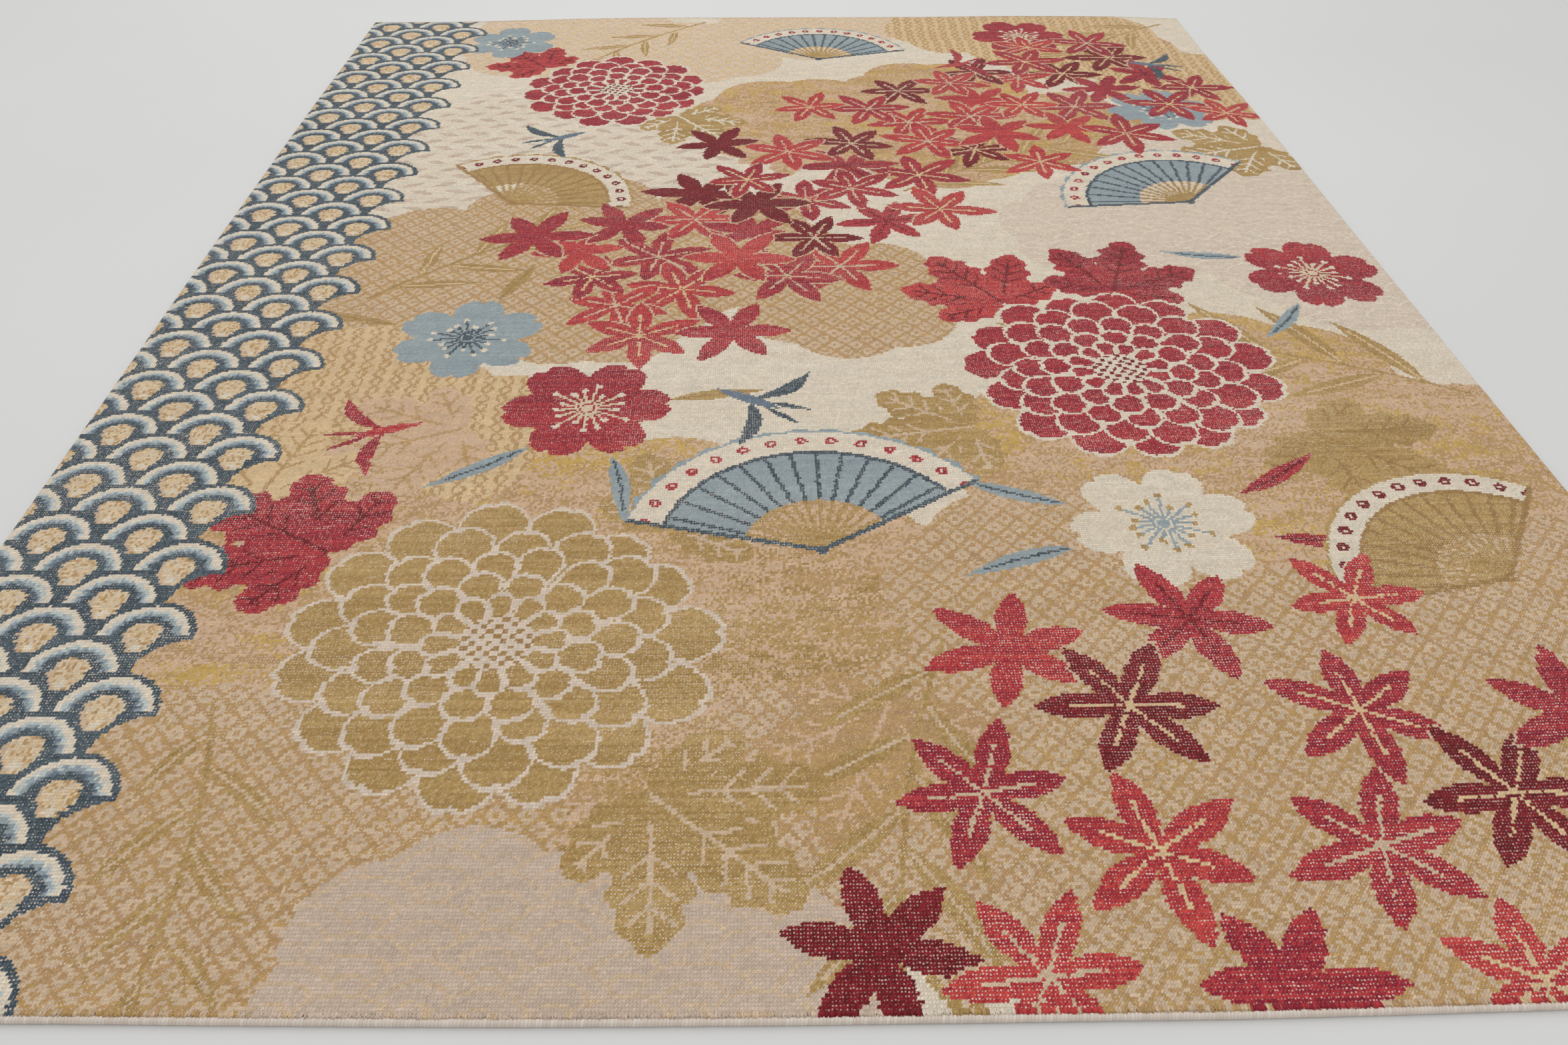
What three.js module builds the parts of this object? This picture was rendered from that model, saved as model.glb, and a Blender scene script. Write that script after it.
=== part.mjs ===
// A hand-knotted pictorial rug, lying flat: one knotted field, and the whipped roll that closes each end.
// Millimetres, +Z up. X runs across the rug and Y along it, from the near end to the far end.
// The origin is on the floor, under the middle of the rug.

import * as THREE from "three";

// Over everything
const rugWidth = 2750;
const rugLength = 3670;
const clearance = 0.3; // between the field and each end roll

// Knotted field: a woven ground with the pile standing on it
const groundHeight = 3.5; // the woven ground, which is the widest line of the rim
const pileHeight = 9; // floor to the highest tufts
const pileWear = 0.8; // how much lower the pile is where it's trodden down
const shoulder = 9; // from the edge to where the pile is at its full height
const acrossSteps = 32;
const alongSteps = 30;

// Rim of the field from the floor upwards: how far each line lies inside the ground's edge
const rimProfile = [
  { inset: 1.2, height: 0 },
  { inset: 0, height: groundHeight },
  { inset: 0.7, height: 6.4 },
  { inset: 2.6, height: 8.1 },
];

// Whipped roll: warp ends turned in and wound with yarn
const rollWidth = 10;
const rollHeight = 8.6;
const rollCrown = 0.55; // share of the height above the roll's middle line, the rest is pressed flat
const rollSides = 12;

// How far each edge lies inside the full rectangle. "at" is -1 at the near or left corner and 1 at the other.
const leftEdge = [
  { at: -1, inset: 17 },
  { at: -0.5, inset: 10 },
  { at: -0.2, inset: 6 },
  { at: 0.1, inset: 2 },
  { at: 0.55, inset: 0 },
  { at: 0.8, inset: 4 },
  { at: 1, inset: 5 },
];
const rightEdge = [
  { at: -1, inset: 2 },
  { at: -0.6, inset: 0 },
  { at: -0.2, inset: 5 },
  { at: 0.1, inset: 8 },
  { at: 0.4, inset: 9 },
  { at: 0.6, inset: 14 },
  { at: 0.8, inset: 23 },
  { at: 1, inset: 24 },
];
const nearEdge = [
  { at: -1, inset: 22 },
  { at: -0.7, inset: 15 },
  { at: -0.45, inset: 7 },
  { at: -0.25, inset: 2 },
  { at: 0, inset: 0 },
  { at: 0.3, inset: 0 },
  { at: 0.5, inset: 3 },
  { at: 0.65, inset: 7 },
  { at: 1, inset: 20 },
];
const farEdge = [
  { at: -1, inset: 62 },
  { at: -0.75, inset: 55 },
  { at: -0.55, inset: 33 },
  { at: -0.35, inset: 17 },
  { at: 0, inset: 14 },
  { at: 0.35, inset: 10 },
  { at: 0.6, inset: 0 },
  { at: 0.85, inset: 8 },
  { at: 1, inset: 28 },
];

const woolColour = 0xc3a985;
const yarnColour = 0xc2b1a2;

// Slope of an edge at one row of its table; an edge runs level past its highest and lowest rows
function slopeAt(edge, row) {
  if (row === 0 || row === edge.length - 1) {
    return 0;
  }
  const before = edge[row].inset - edge[row - 1].inset;
  const after = edge[row + 1].inset - edge[row].inset;
  if (before * after <= 0) {
    return 0;
  }
  return (edge[row + 1].inset - edge[row - 1].inset) / (edge[row + 1].at - edge[row - 1].at);
}

// Smooth inset of an edge between the rows of its table
function insetAt(edge, at) {
  let row = 0;
  while (row < edge.length - 2 && at > edge[row + 1].at) {
    row += 1;
  }
  const span = edge[row + 1].at - edge[row].at;
  const t = THREE.MathUtils.clamp((at - edge[row].at) / span, 0, 1);
  const rise = edge[row + 1].inset - edge[row].inset;
  const ease = t * t * (3 - 2 * t);
  const leave = slopeAt(edge, row) * span * t * (1 - t) * (1 - t);
  const arrive = slopeAt(edge, row + 1) * span * t * t * (t - 1);
  return edge[row].inset + rise * ease + leave + arrive;
}

const leftAt = (at) => -rugWidth / 2 + insetAt(leftEdge, at);
const rightAt = (at) => rugWidth / 2 - insetAt(rightEdge, at);
const nearAt = (at) => -rugLength / 2 + insetAt(nearEdge, at);
const farAt = (at) => rugLength / 2 - insetAt(farEdge, at);

// Share from -1 to 1 of one line of points from edge to edge: the outer steps are the pile's shoulder
function shareAt(step, steps, length) {
  const first = (2 * shoulder) / length;
  if (step === 0 || step === steps) {
    return step === 0 ? -1 : 1;
  }
  return THREE.MathUtils.lerp(first - 1, 1 - first, (step - 1) / (steps - 2));
}

// A share from -1 to 1 laid between two edges
const between = (low, high, share) => THREE.MathUtils.lerp(low, high, (share + 1) / 2);

// Top of the pile: low broad hollows where the wool is worn
function pileTop(x, y) {
  const broad = Math.sin(x / 330 + 0.8) * Math.cos(y / 410 - 0.5);
  const small = Math.sin((x - 1.6 * y) / 190 + 2.1);
  return pileHeight - pileWear * (0.5 - 0.34 * broad - 0.16 * small);
}

// The field is a box with its points moved onto the rim lines, the top of the pile and the floor
function knottedField() {
  const levels = rimProfile.length - 1;
  const endInset = rollWidth + clearance;
  const geometry = new THREE.BoxGeometry(2, 2, 1, acrossSteps, alongSteps, levels);
  const points = geometry.getAttribute("position");
  for (let i = 0; i < points.count; i += 1) {
    const column = Math.round(((points.getX(i) + 1) / 2) * acrossSteps);
    const row = Math.round(((points.getY(i) + 1) / 2) * alongSteps);
    const rim = rimProfile[Math.round((points.getZ(i) + 0.5) * levels)];
    const u = shareAt(column, acrossSteps, rugWidth);
    const v = shareAt(row, alongSteps, rugLength);
    const fromLeft = Math.abs(u) === 1 ? -u * rim.inset : 0;
    const fromNear = Math.abs(v) === 1 ? -v * rim.inset : 0;
    const x = between(leftAt(v), rightAt(v), u) + fromLeft;
    const y = between(nearAt(u) + endInset, farAt(u) - endInset, v) + fromNear;
    const onRim = Math.abs(u) === 1 || Math.abs(v) === 1;
    const inside = rim.height === 0 ? 0 : pileTop(x, y);
    points.setXYZ(i, x, y, onRim ? rim.height : inside);
  }
  geometry.computeVertexNormals();
  return geometry;
}

// A roll is a cylinder laid along its edge on the field's own lines of points, and pressed flat on the floor
function whippedRoll(edgeAt, inward, corner) {
  const geometry = new THREE.CylinderGeometry(1, 1, 2, rollSides, acrossSteps);
  const points = geometry.getAttribute("position");
  for (let i = 0; i < points.count; i += 1) {
    const step = Math.round(((points.getY(i) + 1) / 2) * acrossSteps);
    const share = shareAt(step, acrossSteps, rugWidth);
    const out = points.getZ(i);
    const up = points.getX(i);
    const x = between(leftAt(corner), rightAt(corner), share);
    const y = edgeAt(share) + (inward + out) * (rollWidth / 2);
    const z = rollHeight * (1 - rollCrown + rollCrown * up);
    points.setXYZ(i, x, y, Math.max(0, z));
  }
  geometry.computeVertexNormals();
  return geometry;
}

function piece(name, geometry, colour, roughness) {
  const material = new THREE.MeshStandardMaterial({ color: colour, roughness, metalness: 0 });
  const mesh = new THREE.Mesh(geometry, material);
  mesh.name = name;
  return mesh;
}

const rug = new THREE.Group();
rug.add(piece("knotted_field", knottedField(), woolColour, 0.95));
rug.add(piece("whipped_end_near", whippedRoll(nearAt, 1, -1), yarnColour, 0.9));
rug.add(piece("whipped_end_far", whippedRoll(farAt, -1, 1), yarnColour, 0.9));

export default rug;
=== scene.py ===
# A large hand-knotted rug on a pale studio floor: knotted field, and a whipped roll along each end.
# Metres, +Z up. The chart is drawn in metres too, from the middle of the rug, with y towards the far end.
import math

import bpy
import numpy as np
from mathutils import Matrix, Vector


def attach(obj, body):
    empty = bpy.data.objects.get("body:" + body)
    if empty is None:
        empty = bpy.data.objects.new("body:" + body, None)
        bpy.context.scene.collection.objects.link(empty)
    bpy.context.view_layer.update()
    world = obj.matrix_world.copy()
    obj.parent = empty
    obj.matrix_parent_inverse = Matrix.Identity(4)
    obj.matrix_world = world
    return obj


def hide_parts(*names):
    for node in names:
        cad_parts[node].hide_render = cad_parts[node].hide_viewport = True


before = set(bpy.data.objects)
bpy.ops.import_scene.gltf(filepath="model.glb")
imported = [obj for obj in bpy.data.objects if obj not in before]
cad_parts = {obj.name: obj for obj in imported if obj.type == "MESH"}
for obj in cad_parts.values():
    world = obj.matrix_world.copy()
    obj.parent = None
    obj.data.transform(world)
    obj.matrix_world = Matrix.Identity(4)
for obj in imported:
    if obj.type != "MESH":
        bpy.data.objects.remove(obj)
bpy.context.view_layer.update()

print("rug: loaded", len(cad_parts), "packed solids")


# Camera

shot = {
    "place": (-0.0747, -2.607, 1.3934),
    "down": 39.213,  # degrees below level
    "right": 1.204,  # degrees turned towards +X
    "roll": 0.35,
    "lens": 28.949,  # on a 36 mm wide sensor
}


def setOut(name, data):
    thing = bpy.data.objects.new(name, data)
    bpy.context.collection.objects.link(thing)
    return thing


def hangCamera():
    turn = Matrix.Rotation(-math.radians(shot["right"]), 4, "Z")
    tilt = Matrix.Rotation(math.radians(90 - shot["down"]), 4, "X")
    roll = Matrix.Rotation(math.radians(shot["roll"]), 4, "Z")
    camera = setOut("studioCamera", bpy.data.cameras.new("studioCamera"))
    camera.data.lens = shot["lens"]
    camera.data.sensor_width = 36
    camera.data.clip_end = 60
    camera.matrix_world = Matrix.Translation(shot["place"]) @ turn @ tilt @ roll
    bpy.context.scene.camera = camera


hangCamera()
print("rug: camera hung")


# Formulas in the shader. A Thread is one value on its way through the nodes, and reads as it is written.

tree = None  # the material that is being written


class Thread:
    def __init__(self, socket):
        self.socket = socket

    def __add__(self, other):
        return maths("ADD", self, other)

    def __radd__(self, other):
        return maths("ADD", other, self)

    def __sub__(self, other):
        return maths("SUBTRACT", self, other)

    def __rsub__(self, other):
        return maths("SUBTRACT", other, self)

    def __mul__(self, other):
        return maths("MULTIPLY", self, other)

    def __pow__(self, other):
        return maths("POWER", self, other)

    def __abs__(self):
        return maths("ABSOLUTE", self)

    def __gt__(self, other):
        return maths("GREATER_THAN", self, other)


def feed(socket, value):
    if isinstance(value, Thread):
        tree.links.new(value.socket, socket)
    else:
        socket.default_value = value


def maths(operation, *values, clamp=False):
    node = tree.nodes.new("ShaderNodeMath")
    node.operation = operation
    node.use_clamp = clamp
    for socket, value in zip(node.inputs, values):
        feed(socket, value)
    return Thread(node.outputs[0])


def floorOf(value):
    return maths("FLOOR", value)


def fraction(value):
    return maths("FRACT", value)


def ramp01(value, low, high):
    # 0 below low, 1 above high, straight between
    return maths("MULTIPLY", value - low, 1 / (high - low), clamp=True)


def parts(vector):
    node = tree.nodes.new("ShaderNodeSeparateXYZ")
    feed(node.inputs[0], vector)
    return [Thread(output) for output in node.outputs]


def joined(x, y, z=0.0):
    node = tree.nodes.new("ShaderNodeCombineXYZ")
    for socket, value in zip(node.inputs, (x, y, z)):
        feed(socket, value)
    return Thread(node.outputs[0])


def carried(name):
    # What the mesh carries under this name
    node = tree.nodes.new("ShaderNodeAttribute")
    node.attribute_name = name
    return Thread(node.outputs["Vector"])


def mapped(name):
    node = tree.nodes.new("ShaderNodeUVMap")
    node.uv_map = name
    return parts(Thread(node.outputs[0]))


def mixed(amount, a, b, kind="FLOAT", blend="MIX"):
    node = tree.nodes.new("ShaderNodeMix")
    node.data_type, node.blend_type = kind, blend
    first, result = {"FLOAT": (2, 0), "VECTOR": (4, 1), "RGBA": (6, 2)}[kind]
    feed(node.inputs[0], amount)
    feed(node.inputs[first], a)
    feed(node.inputs[first + 1], b)
    return Thread(node.outputs[result])


def mixedColour(amount, a, b):
    return mixed(amount, a, b, "RGBA")


def shaded(colour, level):
    return mixed(1.0, colour, joined(level, level, level), "RGBA", "MULTIPLY")


def noise(place, detail=2.0):
    node = tree.nodes.new("ShaderNodeTexNoise")
    feed(node.inputs["Vector"], place)
    node.inputs["Scale"].default_value = 1.0
    node.inputs["Detail"].default_value = detail
    return Thread(node.outputs["Fac"])


def chances(place):
    # Three random numbers from 0 to 1 for each whole place
    node = tree.nodes.new("ShaderNodeTexWhiteNoise")
    node.noise_dimensions = "3D"
    feed(node.inputs["Vector"], place)
    return parts(Thread(node.outputs["Color"]))


def shadeCard(number, colours):
    # Looks up one of a row of colours by its number
    node = tree.nodes.new("ShaderNodeValToRGB")
    card = node.color_ramp
    card.interpolation = "CONSTANT"
    card.elements.remove(card.elements[1])
    for row, colour in enumerate(colours):
        stop = card.elements[0] if row == 0 else card.elements.new(row / len(colours))
        stop.color = colour
    feed(node.inputs[0], (number + 0.5) * (1 / len(colours)))
    return Thread(node.outputs[0])


def linear(level):
    level /= 255
    return level / 12.92 if level <= 0.04045 else ((level + 0.055) / 1.055) ** 2.4


def dyed(colour):
    return (*(linear(level) for level in colour), 1.0)


def bumpOf(height, distance, shader):
    bump = tree.nodes.new("ShaderNodeBump")
    bump.inputs["Strength"].default_value = 1.0
    bump.inputs["Distance"].default_value = distance
    feed(bump.inputs["Height"], height)
    tree.links.new(bump.outputs[0], shader.inputs["Normal"])


def coat(shader, colour, surface):
    feed(shader.inputs["Base Color"], colour)
    for name, level in surface.items():
        shader.inputs[name].default_value = level


def startMaterial(name):
    global tree
    material = bpy.data.materials.new(name)
    material.use_nodes = True
    tree = material.node_tree
    return material, tree.nodes["Principled BSDF"]


# Measures that the field and both rolls share. An edge is how far it lies inside the full rectangle,
# in millimetres, from -1 at its near or left corner to 1 at the other.

rug = {
    "width": 2.750,
    "length": 3.670,
    "endStrip": 0.0103,  # the roll and the gap beside it
    "left": ((-1, 17), (-0.5, 10), (-0.2, 6), (0.1, 2), (0.55, 0), (0.8, 4), (1, 5)),
    "right": ((-1, 2), (-0.6, 0), (-0.2, 5), (0.1, 8), (0.4, 9), (0.6, 14), (0.8, 23), (1, 24)),
    "near": ((-1, 22), (-0.7, 15), (-0.45, 7), (-0.25, 2), (0, 0), (0.3, 0), (0.5, 3), (0.65, 7), (1, 20)),
    "far": (
        (-1, 62), (-0.75, 55), (-0.55, 33), (-0.35, 17), (0, 14), (0.35, 10), (0.6, 0), (0.85, 8), (1, 28),
    ),
}
chartWidth = rug["width"]
chartLength = rug["length"] - 2 * rug["endStrip"]


def insetAt(side, at):
    spots, insets = (np.array(column, float) for column in zip(*rug[side]))
    rises = np.diff(insets)
    slopes = np.zeros(len(spots))
    level = rises[:-1] * rises[1:] <= 0
    slopes[1:-1] = np.where(level, 0, (insets[2:] - insets[:-2]) / (spots[2:] - spots[:-2]))
    row = np.clip(np.searchsorted(spots, at) - 1, 0, len(spots) - 2)
    span = spots[row + 1] - spots[row]
    t = np.clip((at - spots[row]) / span, 0, 1)
    ease = rises[row] * t * t * (3 - 2 * t)
    leave = slopes[row] * span * t * (1 - t) ** 2
    arrive = slopes[row + 1] * span * t * t * (t - 1)
    return (insets[row] + ease + leave + arrive) / 1000


def sideEdges(v):
    return -rug["width"] / 2 + insetAt("left", v), rug["width"] / 2 - insetAt("right", v)


def endEdges(u):
    return -rug["length"] / 2 + insetAt("near", u), rug["length"] / 2 - insetAt("far", u)


def onRug(x, y):
    # Places on the flat chart, laid between the rug's real edges
    u, v = x / (chartWidth / 2), y / (chartLength / 2)
    left, right = sideEdges(v)
    near, far = endEdges(u)
    near, far = near + rug["endStrip"], far - rug["endStrip"]
    return left + (right - left) * (u + 1) / 2, near + (far - near) * (v + 1) / 2


# Yarns of the chart: two dye lots of each, and how much of the pale warp shows between its knots

yarns = {
    "cream": ((212, 201, 184), (206, 192, 171), 0.05),
    "shell": ((206, 190, 173), (200, 182, 164), 0.1),
    "pinkBeige": ((193, 173, 155), (185, 164, 146), 0.15),
    "oatmeal": ((207, 189, 162), (200, 181, 153), 0.1),
    "wheat": ((195, 171, 144), (189, 163, 133), 0.5),
    "paleGold": ((205, 178, 136), (197, 168, 130), 0.4),
    "gold": ((176, 142, 89), (170, 136, 97), 0.75),
    "roseGold": ((197, 167, 139), (190, 157, 123), 0.6),
    "ochre": ((176, 146, 93), (151, 120, 67), 0.75),
    "olive": ((193, 158, 82), (182, 150, 84), 0.3),
    "umber": ((156, 123, 74), (144, 111, 64), 0.6),
    "coral": ((189, 65, 60), (148, 35, 46), 0.9),
    "crimson": ((172, 50, 55), (126, 24, 42), 0.9),
    "burgundy": ((97, 11, 20), (120, 22, 31), 0.6),
    "slate": ((54, 68, 77), (76, 89, 97), 0.8),
    "mistBlue": ((182, 190, 188), (170, 180, 182), 0.12),
    "steelBlue": ((147, 158, 160), (132, 144, 149), 0.25),
    "duskBlue": ((104, 118, 132), (90, 106, 120), 0.45),
}
yarnNumber = {name: number for number, name in enumerate(yarns)}


# The chart: one yarn number for each knot, drawn motif by motif from the ground up. Places are in metres.

chart = {"columns": 624, "rows": 675, "waver": 0.0012, "seed": 21}
columnPlaces = ((np.arange(chart["columns"]) + 0.5) / chart["columns"] - 0.5) * chartWidth
rowPlaces = ((np.arange(chart["rows"]) + 0.5) / chart["rows"] - 0.5) * chartLength
allX, allY = np.meshgrid(columnPlaces, rowPlaces)
draw = np.random.default_rng(chart["seed"])
allX = allX + draw.normal(0, chart["waver"], (chart["rows"], 1))  # no row is tied quite in line with the next
luck = draw.random(allX.shape)
knots = np.zeros(allX.shape, int)


class Patch:
    # The knots around one motif, with their places measured from its middle and turned with it
    def __init__(self, x, y, turn, reach):
        left, right = np.searchsorted(columnPlaces, (x - reach, x + reach))
        near, far = np.searchsorted(rowPlaces, (y - reach, y + reach))
        self.window = slice(near, far), slice(left, right)
        dx, dy = allX[self.window] - x, allY[self.window] - y
        self.reach = np.hypot(dx, dy)
        self.angle = np.arctan2(dy, dx) - math.radians(turn)
        self.luck = luck[self.window]
        self.none = np.zeros(dx.shape, bool)

    def sides(self, lean=0.0):
        # Along and across a line that leans from the motif's own direction
        return self.reach * np.cos(self.angle - lean), self.reach * np.sin(self.angle - lean)

    def tie(self, where, yarn):
        knots[self.window][where] = yarnNumber[yarn]


def petals(patch, count, size, outline, waver, shift=0.0):
    # Each petal in turn: how far inside its tip and its sides each knot is, and how far off its middle line
    half = math.pi / count
    for number in range(count):
        middle = (2 * number + shift) * half + draw.normal(0, waver) * half
        off = np.abs((patch.angle - middle + math.pi) % math.tau - math.pi)
        tip = size * draw.uniform(1 - waver, 1 + waver) * outline(np.minimum(off / half, 1))
        yield tip - patch.reach, (half - off) * patch.reach, off * patch.reach


# Ground: cloud banks over plain cream, each filled with a tonal figure

banks = (  # a fill, then x, y and radius of each bank that has it, later ones over earlier ones
    ("paleRings", ((-0.70, 1.62, 0.36), (-0.25, 1.50, 0.28), (0.10, 1.72, 0.30))),
    ("goldNet", ((0.95, 1.55, 0.34), (1.25, 1.20, 0.30), (0.62, 1.72, 0.26))),
    ("shellPetals", ((-0.72, 0.88, 0.30), (-0.98, 0.55, 0.32), (-0.40, 0.70, 0.26))),
    ("plainGold", ((0.05, 0.92, 0.32), (0.45, 1.10, 0.28), (0.78, 0.86, 0.26), (0.42, 0.70, 0.24))),
    ("paleWaves", ((1.10, 0.45, 0.34), (0.80, 0.22, 0.28), (1.30, 0.05, 0.33))),
    ("goldRings", (
        (-0.85, 0.05, 0.30), (-0.55, 0.28, 0.26), (-0.20, 0.12, 0.30),
        (0.12, -0.10, 0.26), (-0.45, -0.12, 0.27),
    )),
    ("goldNet", ((-0.95, -0.55, 0.34), (-0.65, -0.75, 0.32))),
    ("plainGold", ((-0.98, -0.98, 0.34), (-0.30, -0.95, 0.30), (-0.72, -1.20, 0.36))),
    ("roseGold", ((-0.30, -1.35, 0.34), (0.02, -1.10, 0.27))),
    ("plainGold", ((0.92, -0.55, 0.34), (0.58, -0.72, 0.30), (1.22, -0.80, 0.34), (0.85, -1.00, 0.33))),
    ("goldRings", (
        (0.42, -1.12, 0.30), (0.75, -1.38, 0.34), (1.18, -1.22, 0.32), (1.10, -1.62, 0.36),
        (0.30, -1.50, 0.32), (0.62, -1.80, 0.36), (0.02, -1.50, 0.22), (-0.86, -1.66, 0.36),
        (-0.58, -1.56, 0.22),
    )),
    ("beigeWaves", ((-0.46, -1.80, 0.24), (-0.16, -1.86, 0.24))),
)
fills = {  # ground yarn, then each figure on it with its yarn
    "goldRings": ("gold", (("rings", "wheat"),)),
    "goldNet": ("paleGold", (("net", "gold"),)),
    "plainGold": ("roseGold", (("patches", "gold"), ("flecks", "olive"))),
    "roseGold": ("gold", (("patches", "roseGold"), ("flecks", "ochre"))),
    "paleRings": ("paleGold", (("rings", "shell"),)),
    "paleWaves": ("shell", (("waves", "cream"),)),
    "beigeWaves": ("pinkBeige", (("waves", "wheat"),)),
    "shellPetals": ("cream", (("petals", "pinkBeige"),)),
}
figures = {
    "ringRepeat": (10, 9),  # knots across and along, with a second ring in the middle of each repeat
    "ring": (0.27, 0.76),  # inner and outer size, as a share of the room between its neighbours
    "ringWaver": 0.22,  # how ragged its outline is
    "net": (0.038, 0.066),  # mesh across and along
    "petal": (0.085, 0.048),  # pitch across and along
    "tonalWaves": {"pitch": 0.166, "step": 0.0415, "radius": 0.083},
    "waveLines": 3,
    "missed": 0.06,  # share of a figure's knots that are tied in the ground yarn
    "lobes": 7,  # of a bank's outline
    "lobeDepth": 0.10,
    # Patches of a plain ground: their sizes across and along, and how much each size tells
    "patches": ((0.60, 0.130, 0.28), (0.14, 0.022, 0.32), (0.03, 0.009, 0.40)),
    "flecks": ((0.25, 0.070, 0.45), (0.035, 0.022, 0.55)),
    "speckle": 0.55,  # how much single knots stray
}


def scaleHere(x, y, size):
    # The overlapping scale that shows at each knot, from its own middle: nearer rows cover farther ones
    shownX = shownY = shownMiddle = None
    for line in (y // size["step"] + shift for shift in (1, 0, -1)):
        offset = (line % 2) * size["pitch"] / 2
        middle = np.floor((x - offset) / size["pitch"] + 0.5) * size["pitch"] + offset
        dx, dy = x - middle, y - line * size["step"]
        if shownX is None:
            shownX, shownY, shownMiddle = dx, dy, middle
            continue
        covered = np.hypot(dx, dy) < size["radius"]
        shownX, shownY = np.where(covered, dx, shownX), np.where(covered, dy, shownY)
        shownMiddle = np.where(covered, middle, shownMiddle)
    return shownX, shownY, shownMiddle


def drifts(sizes):
    # Soft random patches over the whole rug, from 0 to 1, in layers of different sizes
    total = (draw.random(allX.shape) - 0.5) * figures["speckle"]
    for across, along, weight in sizes:
        columns, rows = int(chartWidth / across) + 2, int(chartLength / along) + 2
        coarse = draw.random((rows, columns))
        x = np.clip((allX / chartWidth + 0.5) * (columns - 1), 0, columns - 1.001)
        y = np.clip((allY / chartLength + 0.5) * (rows - 1), 0, rows - 1.001)
        i, j = x.astype(int), y.astype(int)
        x, y = (part * part * (3 - 2 * part) for part in (x - i, y - j))
        near = coarse[j, i] * (1 - x) + coarse[j, i + 1] * x
        far = coarse[j + 1, i] * (1 - x) + coarse[j + 1, i + 1] * x
        total = total + weight * (near * (1 - y) + far * y)
    return total


def drawFigures():
    # Where each tonal figure shows, over the whole rug
    x = allX + 0.003 * np.sin(allY * 23 + 1.0) + 0.002 * np.sin(allY * 71)
    y = allY + 0.003 * np.sin(allX * 19 + 0.4) + 0.002 * np.sin(allX * 63)
    rings = False
    for shift in (0, 0.5):  # the rings of the rows between stand half a repeat over
        a, b = (
            np.abs((np.arange(count) + 0.5 + shift * part) % part / part * 2 - 1)
            for count, part in zip((chart["columns"], chart["rows"]), figures["ringRepeat"])
        )
        reach = a + b[:, None] + (luck - 0.5) * figures["ringWaver"]
        rings = rings | (reach > figures["ring"][0]) & (reach < figures["ring"][1])
    wide, deep = figures["net"]
    sway = np.sin(y * math.tau / deep) * 0.25
    net = (np.abs((x / wide + sway) % 1 - 0.5) < 0.10) | (np.abs((x / wide - sway) % 1 - 0.5) < 0.10)
    wide, deep = figures["petal"]
    odd = (y // deep) % 2
    px = ((x / wide + odd / 2) % 1 - 0.5) * wide
    py = ((y / deep) % 1 - 0.5) * deep + px * (odd - 0.5) * 0.8
    lenses = np.abs(py) < 0.0135 * (1 - np.abs(px) / 0.034)
    size = figures["tonalWaves"]
    dx, dy, _ = scaleHere(x + 2, y + 2, size)
    lines = (np.hypot(dx, dy) / size["radius"] * figures["waveLines"]) % 1 > 0.80
    shapes = {"rings": rings, "net": net, "petals": lenses, "waves": lines}
    shapes = {name: shape & (luck > figures["missed"]) for name, shape in shapes.items()}
    shapes["patches"] = drifts(figures["patches"]) > 0.5
    shapes["flecks"] = drifts(figures["flecks"]) > 0.74
    return shapes


def knotGround():
    shapes = drawFigures()
    knots[:] = yarnNumber["cream"]
    for x, y, radius, fill in ((*bank, fill) for fill, group in banks for bank in group):
        angle = np.arctan2(allY - y, allX - x)
        lobe = np.abs(np.sin(angle * figures["lobes"] / 2 + x * 9))  # each bank's lobes start elsewhere
        outline = radius * 1.04 * (1 - figures["lobeDepth"] + figures["lobeDepth"] * lobe)
        inside = np.hypot(allX - x, allY - y) < outline
        ground, layers = fills[fill]
        knots[inside] = yarnNumber[ground]
        for shape, yarn in layers:
            knots[inside & shapes[shape]] = yarnNumber[yarn]


# Motifs. Each function ties one motif over the knots so far.

lineReach = {  # how far a line in a motif reaches from its middle or its edge, in metres
    "starMargin": 0.005,
    "starVein": 0.0030,
    "petalTip": 0.0096,
    "petalSide": 0.0062,
    "stamen": 0.0030,
    "fanRib": 0.0040,
    "leafRib": 0.0036,
    "sideRib": 0.0040,
    "slenderRib": 0.0027,
    "guard": 0.0052,  # of a fan
}
leafBlades = (  # lean, length and breadth of each blade of a lobed leaf
    (1.5, 0.60, 0.17), (-1.5, 0.60, 0.17), (0.76, 0.86, 0.20), (-0.76, 0.86, 0.20), (0.0, 1.0, 0.22),
)
twigWidth = 0.0085
reds = [yarnNumber[name] for name in ("coral", "crimson", "burgundy")]


def swell(t):
    # How broad a pointed blade is along its length: nothing at its ends, 1 in the middle
    return np.clip(4 * t * (1 - t), 0, None)


def tieTwig(x0, y0, x1, y1, yarn):
    length, turn = math.hypot(x1 - x0, y1 - y0), math.degrees(math.atan2(y1 - y0, x1 - x0))
    patch = Patch((x0 + x1) / 2, (y0 + y1) / 2, turn, length / 2 + twigWidth)
    u, v = patch.sides()
    beyond = np.maximum(np.abs(u) - length / 2, 0)
    patch.tie(np.hypot(beyond, v) < twigWidth / 2, yarn)


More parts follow.
